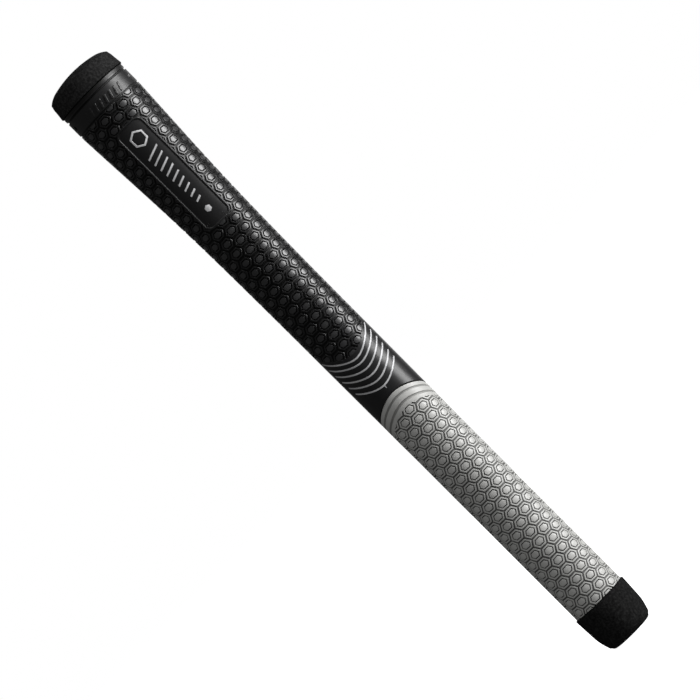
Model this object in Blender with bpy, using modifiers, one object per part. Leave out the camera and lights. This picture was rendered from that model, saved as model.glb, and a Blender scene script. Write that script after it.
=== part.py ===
"""Golf grip: a tapered rubber sleeve with a domed butt cap, a mouth cap and two wrapped skins.

Metres, +Z up. The mouth, where the club's shaft goes in, is at the origin, and the butt is at the top.
The front of the grip, which carries the smooth panel, faces -Y.
"""
import math

import bmesh
import bpy
from mathutils import Matrix

MM = 0.001

# Driving dimensions
LENGTH = 267.0 * MM
SIDES = 40

# Outer taper of the skins: a nearly straight lower hand that swells smoothly under the upper hand
WAIST_RADIUS = 10.44 * MM
WAIST_HEIGHT = 110.0 * MM
WAIST_TAPER = 0.0027
SWELL = 3.79 * MM
SWELL_HEIGHT = 232.5 * MM
SWELL_LENGTH = 19.0 * MM
NECK_RADIUS = 13.5 * MM

# Layers, from the outside in
SKIN_THICKNESS = 0.9 * MM
FELT_THICKNESS = 0.7 * MM
GAP = 0.3 * MM

# Bore for the shaft, which widens from the mouth to the butt
MOUTH_BORE_RADIUS = 6.25 * MM
BUTT_BORE_RADIUS = 7.62 * MM

# Butt cap: a low dome that rolls over a rounder shoulder into a side that flares to a thin lip
DOME_RADIUS = 38.0 * MM
DOME_EDGE = 9.6 * MM
SHOULDER_ROUND = 8.5 * MM
SHOULDER_END_DEG = 42.0
CAP_SIDE_TOP = (13.3 * MM, 263.5 * MM)
CAP_SIDE_BOTTOM = (13.85 * MM, 259.1 * MM)
CAP_LIP_RADIUS = 14.0 * MM
CAP_LIP_HEIGHT = 257.7 * MM
CAP_LIP_CHAMFER = 0.25 * MM
CAP_STOP_HEIGHT = 261.0 * MM
VENT_RADIUS = 1.6 * MM

# Mouth cap
MOUTH_CAP_HEIGHT = 15.7 * MM
MOUTH_LIP_RADIUS = 10.95 * MM
MOUTH_LIP_CHAMFER = 0.25 * MM
MOUTH_CONE_HEIGHT = 7.2 * MM
MOUTH_CONE_RADIUS = 10.52 * MM
MOUTH_NOSE_DROP = 1.85 * MM
MOUTH_NOSE_POWER = 1.5
MOUTH_NOSE_ROUND = 1.35 * MM
MOUTH_LEAD_IN = 0.3 * MM
SOCKET_FLOOR = 4.0 * MM

# Neck grooves, pressed round the top of the upper skin
NECK_GROOVES = (255.65 * MM, 249.4 * MM)
NECK_GROOVE_WIDTH = 0.6 * MM
NECK_GROOVE_DEPTH = 0.3 * MM

# Smooth panel sunk into the front of the upper skin
PANEL_TOP = 240.5 * MM
PANEL_BOTTOM = 196.0 * MM
PANEL_HALF_WIDTH = 5.22 * MM
PANEL_CORNER = 2.4 * MM
PANEL_DEPTH = 0.45 * MM
PANEL_FLOOR_MARGIN = 6.0 * MM
PANEL_FLOOR_CORE = 3.0 * MM
PANEL_BLOCK_BACK = 8.0 * MM
PANEL_BLOCK_FRONT = 16.0 * MM

# Paint-filled marks: each lies in its own channel
PAINT_THICKNESS = 0.2 * MM
PAINT_CLEARANCE = 0.2 * MM
PAINT_TOP_DEPTH = 0.05 * MM
CHANNEL_OVERSHOOT = 0.5 * MM

# Silver arcs below the upper hand's pattern; the top one is steeper and sits closer to the next
ARC_COUNT = 6
TOP_ARC_HEIGHT = 131.09 * MM
TOP_ARC_ROUNDING = 2.61 * MM
TOP_ARC_SLOPE = 0.668
NEXT_ARC_HEIGHT = 129.0 * MM
ARC_ROUNDING = 2.78 * MM
ARC_SLOPE = 0.618
ARC_STEP = 2.707 * MM
ARC_MIDDLE = -0.25 * MM
ARC_WIDTH = 0.6 * MM
ARC_FIRST_REACH = 13.5 * MM
ARC_REACH_STEP = 0.5 * MM
ARC_PIECES = 21
TICK_LENGTH = 0.9 * MM
TICK_WIDTH = 0.45 * MM

# Swept joint between the skins: round at the front, straight on its arms, level again at the back
JOINT_APEX = 114.55 * MM
JOINT_ROUNDING = 2.97 * MM
JOINT_SLOPE = 0.51
SWEEP_LIMIT = 11.0 * MM
SWEEP_POWER = 6.0
SLEEVE_STEP_HEIGHT = 109.0 * MM
COLLAR_RADIUS = 10.44 * MM
LOWER_RADIUS = 10.36 * MM
COLLAR_FADE_TOP = 102.0 * MM
COLLAR_FADE_BOTTOM = 92.0 * MM
COLLAR_GROOVES = (2.3 * MM, 5.1 * MM)
COLLAR_GROOVE_WIDTH = 1.0 * MM
COLLAR_GROOVE_DEPTH = 0.25 * MM

# Cutters that wrap round the grip end just inside the seam
BAND_HALF_TURN = math.pi - 0.004
BAND_PIECES = 48
BAND_REACH = 5.0 * MM
LAP = 2.0 * MM
CUT_MARGIN = 5.0 * MM

# Seam at the back, where the edges of each wrapped sheet meet
SEAM_WIDTH = 0.3 * MM
SEAM_REACH = 26.0 * MM
SEAM_OVERSHOOT = 1.1

# Generic marks on the panel: a hexagon, a run of slanted bars that get shorter, and a small hexagon
HEXAGON_HEIGHT = 234.6 * MM
HEXAGON_RADIUS = 3.3 * MM
HEXAGON_RIM = 0.65 * MM
BAR_COUNT = 9
BAR_WIDTH = 0.7 * MM
BAR_FIRST_HEIGHT = 228.0 * MM
BAR_STEP = 2.7 * MM
BAR_FIRST_LENGTH = 6.0 * MM
BAR_SHRINK = 0.45 * MM
BAR_SLANT = 0.35
BAR_PIECES = 6
END_MARK_HEIGHT = 201.8 * MM
END_MARK_RADIUS = 1.3 * MM

# Colours, roughness and metallic value
FINISHES = {
    "cap_rubber": ((0.012, 0.012, 0.013), 0.75, 0.0),
    "sleeve_rubber": ((0.018, 0.018, 0.018), 0.85, 0.0),
    "black_skin": ((0.014, 0.014, 0.015), 0.35, 0.0),
    "grey_skin": ((0.36, 0.36, 0.34), 0.5, 0.0),
    "felt": ((0.55, 0.55, 0.52), 0.95, 0.0),
    "silver_paint": ((0.62, 0.62, 0.63), 0.4, 0.2),
}


def clear_scene():
    """Remove whatever the file starts with."""
    for thing in list(bpy.data.objects):
        bpy.data.objects.remove(thing)


def make_collection(name):
    """Add a collection to the scene."""
    group = bpy.data.collections.new(name)
    bpy.context.scene.collection.children.link(group)
    return group


def make_material(name):
    """Principled material from the table of finishes."""
    colour, roughness, metallic = FINISHES[name]
    material = bpy.data.materials.new(name)
    material.use_nodes = True
    shader = material.node_tree.nodes["Principled BSDF"]
    shader.inputs["Base Color"].default_value = (*colour, 1.0)
    shader.inputs["Roughness"].default_value = roughness
    shader.inputs["Metallic"].default_value = metallic
    return material


def skin_radius(height):
    """Outer radius of the upper skin at a height above the mouth."""
    swell = SWELL / (1.0 + math.exp((SWELL_HEIGHT - height) / SWELL_LENGTH))
    straight = WAIST_RADIUS + WAIST_TAPER * (height - WAIST_HEIGHT)
    return min(straight + swell, NECK_RADIUS)


def lower_radius(height):
    """Outer radius of the lower skin, which thins a little below its collar."""
    share = (height - COLLAR_FADE_BOTTOM) / (COLLAR_FADE_TOP - COLLAR_FADE_BOTTOM)
    share = min(max(share, 0.0), 1.0)
    eased = share * share * (3.0 - 2.0 * share)
    return LOWER_RADIUS + (COLLAR_RADIUS - LOWER_RADIUS) * eased


def sleeve_radius(height):
    """Outer radius of the rubber sleeve, which lies under both skins and their felts."""
    layers = SKIN_THICKNESS + FELT_THICKNESS + 2.0 * GAP
    if height > SLEEVE_STEP_HEIGHT:
        return skin_radius(height) - layers
    return lower_radius(height) - layers


def bore_radius(height):
    """Radius of the tapered bore."""
    share = height / CAP_STOP_HEIGHT
    return MOUTH_BORE_RADIUS + (BUTT_BORE_RADIUS - MOUTH_BORE_RADIUS) * share


def sweep(around, rounding, slope):
    """Climb of a line at a distance round the grip from its middle, levelled off at the back."""
    climb = (math.hypot(rounding, slope * around) - rounding) / SWEEP_LIMIT
    return SWEEP_LIMIT * climb / (1.0 + climb ** SWEEP_POWER) ** (1.0 / SWEEP_POWER)


def joint_height(angle):
    """Height of the joint between the skins at an angle from the front."""
    return JOINT_APEX - sweep(angle * COLLAR_RADIUS, JOINT_ROUNDING, JOINT_SLOPE)


def arc_height(index, around):
    """Height of a silver arc at a distance round the grip from its middle."""
    if index == 0:
        return TOP_ARC_HEIGHT + sweep(around, TOP_ARC_ROUNDING, TOP_ARC_SLOPE)
    return NEXT_ARC_HEIGHT - ARC_STEP * (index - 1) + sweep(around, ARC_ROUNDING, ARC_SLOPE)


def heights_down(top, bottom, count, crowding=1.0):
    """Heights from top to bottom; crowding over 1 puts more of them near the top."""
    return [top - (top - bottom) * (i / count) ** crowding for i in range(count + 1)]


def arc_points(centre_r, centre_z, radius, start_deg, end_deg, count):
    """Points on an arc in the profile plane, with angles from the outward direction."""
    points = []
    for i in range(count + 1):
        angle = math.radians(start_deg + (end_deg - start_deg) * i / count)
        points.append((centre_r + radius * math.cos(angle), centre_z + radius * math.sin(angle)))
    return points


def link_mesh(name, mesh, group):
    """Put a mesh in the scene as an object."""
    thing = bpy.data.objects.new(name, mesh)
    group.objects.link(thing)
    return thing


def turned(name, outline, group):
    """Solid of revolution from a closed outline, given down its outer side and up its inner side."""
    mesh = bpy.data.meshes.new(name)
    shape = bmesh.new()
    corners = [shape.verts.new((radius, 0.0, height)) for radius, height in outline]
    for start, end in zip(corners, corners[1:] + corners[:1]):
        shape.edges.new((start, end))
    shape.to_mesh(mesh)
    shape.free()
    thing = link_mesh(name, mesh, group)
    screw = thing.modifiers.new("turn", "SCREW")
    screw.axis = "Z"
    screw.steps = SIDES
    screw.render_steps = SIDES
    screw.use_merge_vertices = True
    screw.merge_threshold = 0.000001
    return thing


def mark_as_cutter(thing):
    """Keep a helper solid out of the model."""
    thing.hide_render = True
    thing.display_type = "WIRE"
    return thing


def cut(thing, cutter, operation="DIFFERENCE"):
    """Cut one solid with another."""
    boolean = thing.modifiers.new(cutter.name, "BOOLEAN")
    boolean.operation = operation
    boolean.object = cutter
    boolean.solver = "EXACT"


def finish(thing, material):
    """Fix the evaluated shape as the object's mesh, shade it and give it its material."""
    graph = bpy.context.evaluated_depsgraph_get()
    mesh = bpy.data.meshes.new_from_object(thing.evaluated_get(graph))
    mesh.name = thing.name
    thing.modifiers.clear()
    thing.data = mesh
    mesh.materials.clear()
    mesh.materials.append(material)
    mesh.shade_smooth()
    mesh.set_sharp_from_angle(angle=math.radians(40.0))


def wrap(mesh, radius_at):
    """Wrap a flat body round the grip: x runs round it, -y stands off it and z runs along it."""
    for point in mesh.verts:
        radius = radius_at(point.co.z)
        angle = point.co.x / radius
        reach = radius - point.co.y
        point.co.x = reach * math.sin(angle)
        point.co.y = -reach * math.cos(angle)


def slab(length, depth_in, depth_out, width, pieces):
    """Flat bar along x, divided along its length, from depth_in to depth_out towards -y."""
    shape = bmesh.new()
    bmesh.ops.create_cube(shape, size=1.0)
    along = [edge for edge in shape.edges if abs(edge.verts[0].co.x - edge.verts[1].co.x) > 0.5]
    bmesh.ops.subdivide_edges(shape, edges=along, cuts=pieces - 1)
    place = Matrix.Translation((0.0, -(depth_in + depth_out) / 2.0, 0.0))
    size = Matrix.Diagonal((length, depth_out - depth_in, width, 1.0))
    bmesh.ops.transform(shape, matrix=place @ size, verts=shape.verts)
    return shape


def curved_box(name, shape, group):
    """Store a bmesh as an object."""
    mesh = bpy.data.meshes.new(name)
    shape.to_mesh(mesh)
    shape.free()
    return link_mesh(name, mesh, group)


def arc_body(name, index, widening, depths, group):
    """One silver arc: its middle points to the mouth and its arms sweep back up the grip."""
    reach = ARC_FIRST_REACH - ARC_REACH_STEP * index + widening
    step = reach / ARC_PIECES
    shape = slab(2.0 * reach, depths[0], depths[1], ARC_WIDTH + 2.0 * widening, ARC_PIECES)
    for point in shape.verts:
        along = point.co.x
        across = point.co.z
        slope = (arc_height(index, along + step) - arc_height(index, along - step)) / (2.0 * step)
        stretch = math.hypot(1.0, slope)
        point.co.x = ARC_MIDDLE + along - across * slope / stretch
        point.co.z = arc_height(index, along) + across / stretch
    wrap(shape, skin_radius)
    return curved_box(name, shape, group)


def tick_body(name, widening, depths, group):
    """Short mark that runs from the last arc towards the mouth."""
    shape = slab(TICK_WIDTH + 2.0 * widening, depths[0], depths[1], TICK_LENGTH + 2.0 * widening, 2)
    gap = ARC_WIDTH / 2.0 + 2.0 * PAINT_CLEARANCE
    centre = arc_height(ARC_COUNT - 1, 0.0) - gap - TICK_LENGTH / 2.0
    bmesh.ops.translate(shape, vec=(ARC_MIDDLE, 0.0, centre), verts=shape.verts)
    wrap(shape, skin_radius)
    return curved_box(name, shape, group)


def hexagon_body(name, height, radius, rim, depths, group):
    """Flat hexagon on the panel, wrapped: an outline of the given rim, or solid when rim is 0."""
    shape = bmesh.new()
    bmesh.ops.create_circle(shape, segments=6, radius=radius, cap_ends=rim == 0.0)
    if rim > 0.0:
        bmesh.ops.subdivide_edges(shape, edges=shape.edges, cuts=2)
        result = bmesh.ops.extrude_edge_only(shape, edges=shape.edges)
        inner = [item for item in result["geom"] if isinstance(item, bmesh.types.BMVert)]
        bmesh.ops.scale(shape, vec=(1.0 - rim / radius,) * 3, verts=inner)
    grown = bmesh.ops.extrude_face_region(shape, geom=shape.faces, use_keep_orig=True)
    raised = [item for item in grown["geom"] if isinstance(item, bmesh.types.BMVert)]
    bmesh.ops.translate(shape, vec=(0.0, 0.0, depths[1] - depths[0]), verts=raised)
    bmesh.ops.recalc_face_normals(shape, faces=shape.faces)
    stand = Matrix.Translation((0.0, -depths[0], height)) @ Matrix.Rotation(math.radians(90.0), 4, "X")
    bmesh.ops.transform(shape, matrix=stand, verts=shape.verts)
    wrap(shape, skin_radius)
    return curved_box(name, shape, group)


def bar_body(name, height, length, slant, depths, group):
    """Slanted bar across the panel."""
    shape = slab(length, depths[0], depths[1], BAR_WIDTH, BAR_PIECES)
    for point in shape.verts:
        point.co.z += height + slant * point.co.x
    wrap(shape, skin_radius)
    return curved_box(name, shape, group)


def band_body(name, low_edge, high_edge, radius_at, depths, group):
    """Band that wraps nearly all the way round; its edges are height functions of the angle."""
    shape = slab(2.0 * BAND_HALF_TURN, depths[0], depths[1], 1.0, BAND_PIECES)
    for point in shape.verts:
        angle = point.co.x
        height = high_edge(angle) if point.co.z > 0.0 else low_edge(angle)
        reach = radius_at(height) - point.co.y
        point.co = (reach * math.sin(angle), -reach * math.cos(angle), height)
    return mark_as_cutter(curved_box(name, shape, group))


def make_butt_cap(parts):
    """Domed end cap with a vent and a socket for the top of the sleeve."""
    dome_centre = LENGTH - DOME_RADIUS
    socket = sleeve_radius(CAP_LIP_HEIGHT) + GAP
    vent_deg = math.degrees(math.acos(VENT_RADIUS / DOME_RADIUS))
    dome_deg = math.degrees(math.acos(DOME_EDGE / DOME_RADIUS))
    outline = arc_points(0.0, dome_centre, DOME_RADIUS, vent_deg, dome_deg, 5)
    edge_r, edge_z = outline.pop()
    share = SHOULDER_ROUND / DOME_RADIUS
    shoulder_r = edge_r * (1.0 - share)
    shoulder_z = edge_z - (edge_z - dome_centre) * share
    end_deg = 90.0 - SHOULDER_END_DEG
    outline += arc_points(shoulder_r, shoulder_z, SHOULDER_ROUND, dome_deg, end_deg, 4)
    outline += [CAP_SIDE_TOP, CAP_SIDE_BOTTOM]
    outline.append((CAP_LIP_RADIUS, CAP_LIP_HEIGHT + CAP_LIP_CHAMFER))
    outline.append((CAP_LIP_RADIUS - CAP_LIP_CHAMFER, CAP_LIP_HEIGHT))
    outline.append((socket, CAP_LIP_HEIGHT))
    outline.append((socket, CAP_STOP_HEIGHT))
    outline.append((VENT_RADIUS, CAP_STOP_HEIGHT))
    return turned("butt_cap", outline, parts)


def make_mouth_cap(parts):
    """Cap at the mouth: a rounded nose with the bore through it and a socket for the sleeve."""
    socket = sleeve_radius(MOUTH_CAP_HEIGHT) + GAP
    nose_r = MOUTH_CONE_RADIUS - MOUTH_NOSE_DROP - MOUTH_NOSE_ROUND
    outline = [(MOUTH_LIP_RADIUS - MOUTH_LIP_CHAMFER, MOUTH_CAP_HEIGHT)]
    outline.append((MOUTH_LIP_RADIUS, MOUTH_CAP_HEIGHT - MOUTH_LIP_CHAMFER))
    for height in heights_down(MOUTH_CONE_HEIGHT, MOUTH_NOSE_ROUND, 5):
        fall = ((MOUTH_CONE_HEIGHT - height) / MOUTH_CONE_HEIGHT) ** MOUTH_NOSE_POWER
        outline.append((MOUTH_CONE_RADIUS - MOUTH_NOSE_DROP * fall, height))
    outline += arc_points(nose_r, MOUTH_NOSE_ROUND, MOUTH_NOSE_ROUND, -22.5, -90.0, 3)
    outline.append((MOUTH_BORE_RADIUS + MOUTH_LEAD_IN, 0.0))
    outline.append((MOUTH_BORE_RADIUS, MOUTH_LEAD_IN))
    outline.append((bore_radius(SOCKET_FLOOR), SOCKET_FLOOR))
    outline.append((socket, SOCKET_FLOOR))
    outline.append((socket, MOUTH_CAP_HEIGHT))
    return turned("mouth_cap", outline, parts)


def make_sleeve(parts):
    """Rubber underlisting, whose bore grips the shaft."""
    top = CAP_STOP_HEIGHT - GAP
    bottom = SOCKET_FLOOR + GAP
    outline = [(sleeve_radius(z), z) for z in heights_down(top, SLEEVE_STEP_HEIGHT + GAP, 9, 1.5)]
    outline += [(sleeve_radius(z), z) for z in heights_down(COLLAR_FADE_TOP, COLLAR_FADE_BOTTOM, 2)]
    outline.append((sleeve_radius(bottom), bottom))
    outline.append((bore_radius(bottom), bottom))
    outline.append((bore_radius(top), top))
    return turned("underlisting", outline, parts)


def neck_outline(top, inset):
    """Outer side of the upper skin's neck, with its two pressed grooves."""
    points = [(skin_radius(top) - inset, top)]
    for height in NECK_GROOVES:
        half = NECK_GROOVE_WIDTH / 2.0
        points.append((skin_radius(height) - inset, height + half))
        points.append((skin_radius(height) - inset - NECK_GROOVE_DEPTH, height))
        points.append((skin_radius(height) - inset, height - half))
    return points


def make_upper_skin(parts):
    """Black skin of the upper hand, before its cuts."""
    top = CAP_LIP_HEIGHT - GAP
    bottom = JOINT_APEX - SWEEP_LIMIT - LAP
    neck_end = NECK_GROOVES[-1] - NECK_GROOVE_WIDTH
    outer = neck_outline(top, 0.0)
    outer += [(skin_radius(z), z) for z in heights_down(neck_end, bottom, 11, 1.4)]
    inner_levels = reversed(heights_down(top, bottom, 7, 1.4))
    inner = [(skin_radius(z) - SKIN_THICKNESS, z) for z in inner_levels]
    return turned("upper_skin", outer + inner, parts)


def make_upper_felt(parts):
    """Felt backing bonded inside the upper skin, before its cuts."""
    top = CAP_LIP_HEIGHT - GAP
    bottom = JOINT_APEX - SWEEP_LIMIT - LAP
    face = SKIN_THICKNESS + GAP
    levels = heights_down(top, bottom, 7, 1.4)
    outer = [(skin_radius(z) - face, z) for z in levels]
    inner = [(skin_radius(z) - face - FELT_THICKNESS, z) for z in reversed(levels)]
    return turned("upper_felt", outer + inner, parts)


def make_lower_layer(name, inset, thickness, parts):
    """Skin or felt of the lower hand, before its cuts."""
    top = JOINT_APEX + LAP
    bottom = MOUTH_CAP_HEIGHT + GAP
    levels = [top] + heights_down(COLLAR_FADE_TOP, COLLAR_FADE_BOTTOM, 4) + [bottom]
    outer = [(lower_radius(z) - inset, z) for z in levels]
    inner = [(lower_radius(z) - inset - thickness, z) for z in reversed(levels)]
    return turned(name, outer + inner, parts)


def make_joint_cutters(cutters):
    """Bands that remove what lies below and above the joint, half a gap from it on each side."""
    depths = (-BAND_REACH, BAND_REACH)
    floor = JOINT_APEX - SWEEP_LIMIT - LAP - CUT_MARGIN
    ceiling = JOINT_APEX + LAP + CUT_MARGIN
    below = band_body(
        "below_joint", lambda angle: floor, lambda angle: joint_height(angle) + GAP / 2.0,
        skin_radius, depths, cutters,
    )
    above = band_body(
        "above_joint", lambda angle: joint_height(angle) - GAP / 2.0, lambda angle: ceiling,
        lower_radius, depths, cutters,
    )
    return below, above


def make_collar_groove(index, cutters):
    """Thin ring that presses one groove parallel to the collar's edge."""
    middle = COLLAR_GROOVES[index]
    half = COLLAR_GROOVE_WIDTH / 2.0
    return band_body(
        f"collar_groove_{index + 1}",
        lambda angle: joint_height(angle) - middle - half,
        lambda angle: joint_height(angle) - middle + half,
        lower_radius, (-COLLAR_GROOVE_DEPTH, CHANNEL_OVERSHOOT), cutters,
    )


def make_seam(cutters):
    """Thin upright block that opens each wrapped sheet at the back."""
    shape = bmesh.new()
    bmesh.ops.create_cube(shape, size=1.0)
    place = Matrix.Translation((0.0, SEAM_REACH / 2.0, LENGTH / 2.0))
    size = Matrix.Diagonal((SEAM_WIDTH, SEAM_REACH, LENGTH * SEAM_OVERSHOOT, 1.0))
    bmesh.ops.transform(shape, matrix=place @ size, verts=shape.verts)
    return mark_as_cutter(curved_box("seam", shape, cutters))


def make_panel_cutter(cutters):
    """Block with rounded corners in front of the grip, hollowed by the panel's curved floor."""
    top = PANEL_TOP + PANEL_FLOOR_MARGIN
    bottom = PANEL_BOTTOM - PANEL_FLOOR_MARGIN
    outline = [(skin_radius(z) - PANEL_DEPTH, z) for z in heights_down(top, bottom, 12)]
    outline += [(PANEL_FLOOR_CORE, bottom), (PANEL_FLOOR_CORE, top)]
    floor = mark_as_cutter(turned("panel_floor", outline, cutters))
    shape = bmesh.new()
    bmesh.ops.create_cube(shape, size=1.0)
    middle = (PANEL_BLOCK_BACK + PANEL_BLOCK_FRONT) / 2.0
    thickness = PANEL_BLOCK_FRONT - PANEL_BLOCK_BACK
    place = Matrix.Translation((0.0, -middle, (PANEL_TOP + PANEL_BOTTOM) / 2.0))
    size = Matrix.Diagonal((2.0 * PANEL_HALF_WIDTH, thickness, PANEL_TOP - PANEL_BOTTOM, 1.0))
    bmesh.ops.transform(shape, matrix=place @ size, verts=shape.verts)
    corners = []
    for edge in shape.edges:
        if abs(edge.verts[0].co.y - edge.verts[1].co.y) > thickness / 2.0:
            corners.append(edge)
    bmesh.ops.bevel(
        shape, geom=corners, offset=PANEL_CORNER, segments=5, affect="EDGES", profile=0.5, material=-1,
    )
    block = mark_as_cutter(curved_box("panel_block", shape, cutters))
    cut(block, floor)
    return block


def make_arcs(parts, cutters, skin):
    """The six silver arcs and the tick, with their channels cut into the skin."""
    fill = (-PAINT_TOP_DEPTH - PAINT_THICKNESS, -PAINT_TOP_DEPTH)
    channel = (fill[0] - PAINT_CLEARANCE, CHANNEL_OVERSHOOT)
    pieces = []
    for index in range(ARC_COUNT):
        pieces.append(arc_body(f"silver_arc_{index + 1}", index, 0.0, fill, parts))
        groove = arc_body(f"arc_channel_{index + 1}", index, PAINT_CLEARANCE, channel, cutters)
        cut(skin, mark_as_cutter(groove))
    pieces.append(tick_body("silver_tick", 0.0, fill, parts))
    cut(skin, mark_as_cutter(tick_body("tick_channel", PAINT_CLEARANCE, channel, cutters)))
    return pieces


def make_panel_marks(parts):
    """Generic silver marks, which stand just clear of the panel's floor."""
    base = -PANEL_DEPTH + PAINT_CLEARANCE
    fill = (base, base + PAINT_THICKNESS)
    pieces = [hexagon_body("panel_hexagon", HEXAGON_HEIGHT, HEXAGON_RADIUS, HEXAGON_RIM, fill, parts)]
    for index in range(BAR_COUNT):
        height = BAR_FIRST_HEIGHT - BAR_STEP * index
        length = BAR_FIRST_LENGTH - BAR_SHRINK * index
        pieces.append(bar_body(f"panel_bar_{index + 1}", height, length, BAR_SLANT, fill, parts))
    pieces.append(hexagon_body("panel_end_mark", END_MARK_HEIGHT, END_MARK_RADIUS, 0.0, fill, parts))
    return pieces


def main():
    """Build the grip."""
    clear_scene()
    parts = make_collection("golf_grip")
    cutters = make_collection("cutters")
    materials = {name: make_material(name) for name in FINISHES}

    butt_cap = make_butt_cap(parts)
    mouth_cap = make_mouth_cap(parts)
    sleeve = make_sleeve(parts)
    upper_skin = make_upper_skin(parts)
    upper_felt = make_upper_felt(parts)
    lower_skin = make_lower_layer("lower_skin", 0.0, SKIN_THICKNESS, parts)
    lower_felt = make_lower_layer("lower_felt", SKIN_THICKNESS + GAP, FELT_THICKNESS, parts)

    below, above = make_joint_cutters(cutters)
    seam = make_seam(cutters)
    for layer in (upper_skin, upper_felt):
        cut(layer, below)
        cut(layer, seam)
    for layer in (lower_skin, lower_felt):
        cut(layer, above)
        cut(layer, seam)
    for index in range(len(COLLAR_GROOVES)):
        cut(lower_skin, make_collar_groove(index, cutters))
    cut(upper_skin, make_panel_cutter(cutters))
    paint = make_arcs(parts, cutters, upper_skin) + make_panel_marks(parts)

    finish(butt_cap, materials["cap_rubber"])
    finish(mouth_cap, materials["cap_rubber"])
    finish(sleeve, materials["sleeve_rubber"])
    finish(upper_skin, materials["black_skin"])
    finish(lower_skin, materials["grey_skin"])
    finish(upper_felt, materials["felt"])
    finish(lower_felt, materials["felt"])
    for mark in paint:
        finish(mark, materials["silver_paint"])


main()
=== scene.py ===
# %% [markdown]
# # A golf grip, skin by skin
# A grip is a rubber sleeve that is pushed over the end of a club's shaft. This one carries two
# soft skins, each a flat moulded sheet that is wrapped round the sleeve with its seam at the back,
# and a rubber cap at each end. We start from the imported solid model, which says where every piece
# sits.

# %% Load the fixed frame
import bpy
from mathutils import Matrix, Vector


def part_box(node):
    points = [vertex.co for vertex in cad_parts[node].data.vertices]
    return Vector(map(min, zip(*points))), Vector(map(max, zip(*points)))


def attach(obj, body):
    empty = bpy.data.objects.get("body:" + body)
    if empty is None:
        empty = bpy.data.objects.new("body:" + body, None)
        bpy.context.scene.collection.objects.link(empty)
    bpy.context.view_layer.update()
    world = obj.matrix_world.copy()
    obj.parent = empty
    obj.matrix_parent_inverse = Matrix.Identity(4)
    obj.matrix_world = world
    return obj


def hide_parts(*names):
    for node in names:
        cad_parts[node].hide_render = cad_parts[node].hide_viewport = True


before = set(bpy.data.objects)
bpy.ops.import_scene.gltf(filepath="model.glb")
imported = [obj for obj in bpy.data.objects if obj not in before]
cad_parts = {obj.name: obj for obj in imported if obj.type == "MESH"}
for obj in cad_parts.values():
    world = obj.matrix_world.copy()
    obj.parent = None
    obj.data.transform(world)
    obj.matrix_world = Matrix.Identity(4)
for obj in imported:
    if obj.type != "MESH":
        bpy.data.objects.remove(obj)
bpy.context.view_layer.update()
print("frame:", len(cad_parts), "solids")

# %% Tools and the unit
import math

import bmesh
import bpy
from mathutils import Matrix, Vector

MM = 0.001
TOLERANCE = 0.01 * MM
GRIP_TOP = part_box("butt_cap")[1].z
print(f"grip is {GRIP_TOP / MM:.1f} mm long")

# %% [markdown]
# ## The camera
# The grip stands upright in its own frame, with the mouth at the bottom. A long lens from a metre
# and a half away looks straight at its front, and the camera is rolled by an eighth of a turn, so
# the grip lies across the frame from corner to corner. Rolling the camera keeps the model upright.

# %% Camera
AIM = Vector((0.0, 0.0, 134.61 * MM))
CAMERA_DISTANCE = 1.5186
CAMERA_ROLL = math.radians(-44.973)
CAMERA_VIEW = math.radians(8.894)
NEAREST_SEEN = 0.05
scene = bpy.context.scene
camera = bpy.data.objects.new("camera", bpy.data.cameras.new("camera"))
camera.data.angle = CAMERA_VIEW
camera.data.clip_start = NEAREST_SEEN
stand = Matrix.Translation(AIM + Vector((0.0, -CAMERA_DISTANCE, 0.0)))
level_view = Matrix.Rotation(math.radians(90.0), 4, "X")
camera.matrix_world = stand @ level_view @ Matrix.Rotation(CAMERA_ROLL, 4, "Z")
scene.collection.objects.link(camera)
scene.camera = camera
print("camera at", tuple(round(value, 3) for value in camera.location))

# %% [markdown]
# ## Light
# Dark glossy rubber shows what it mirrors more than its own colour. One tall softbox on the right
# gives the long highlight down the grip, and because it stands well round to the side, the left
# half falls into shade. A fill in front lights the shade but isn't mirrored. The room itself is
# dim. Weak boxes behind and above keep the back and the cap readable when the grip is turned.

# %% Softboxes
# name, turn in degrees, then height, distance, width and tall in metres, and radiance
SOFTBOXES = (
    ("key", 76.0, 0.20, 1.2, 0.66, 1.1, 13.5),
    ("back", 165.0, 0.30, 1.4, 0.9, 1.0, 0.8),
    ("back_left", -172.0, 0.30, 1.4, 0.6, 1.0, 0.4),
    ("top", 20.0, 1.5, 0.25, 0.8, 0.8, 1.2),
    ("front_fill", 10.0, 0.20, 1.6, 0.9, 1.0, 1.7),
)


def add_softbox(name, turn_deg, height, distance, width, tall, radiance):
    """Area light on a circle round the grip; a turn of 0 is in front and 90 on the right."""
    turn = math.radians(turn_deg)
    place = Vector((math.sin(turn) * distance, -math.cos(turn) * distance, height))
    light = bpy.data.lights.new(name, "AREA")
    light.shape = "RECTANGLE"
    light.size = width
    light.size_y = tall
    light.energy = radiance * math.pi * width * tall
    box = bpy.data.objects.new(name, light)
    facing = (AIM - place).to_track_quat("-Z", "Y").to_matrix().to_4x4()
    box.matrix_world = Matrix.Translation(place) @ facing
    box.visible_camera = False
    scene.collection.objects.link(box)
    return box


softboxes = {row[0]: add_softbox(*row) for row in SOFTBOXES}
softboxes["front_fill"].visible_glossy = False
print("softboxes:", list(softboxes))

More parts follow.
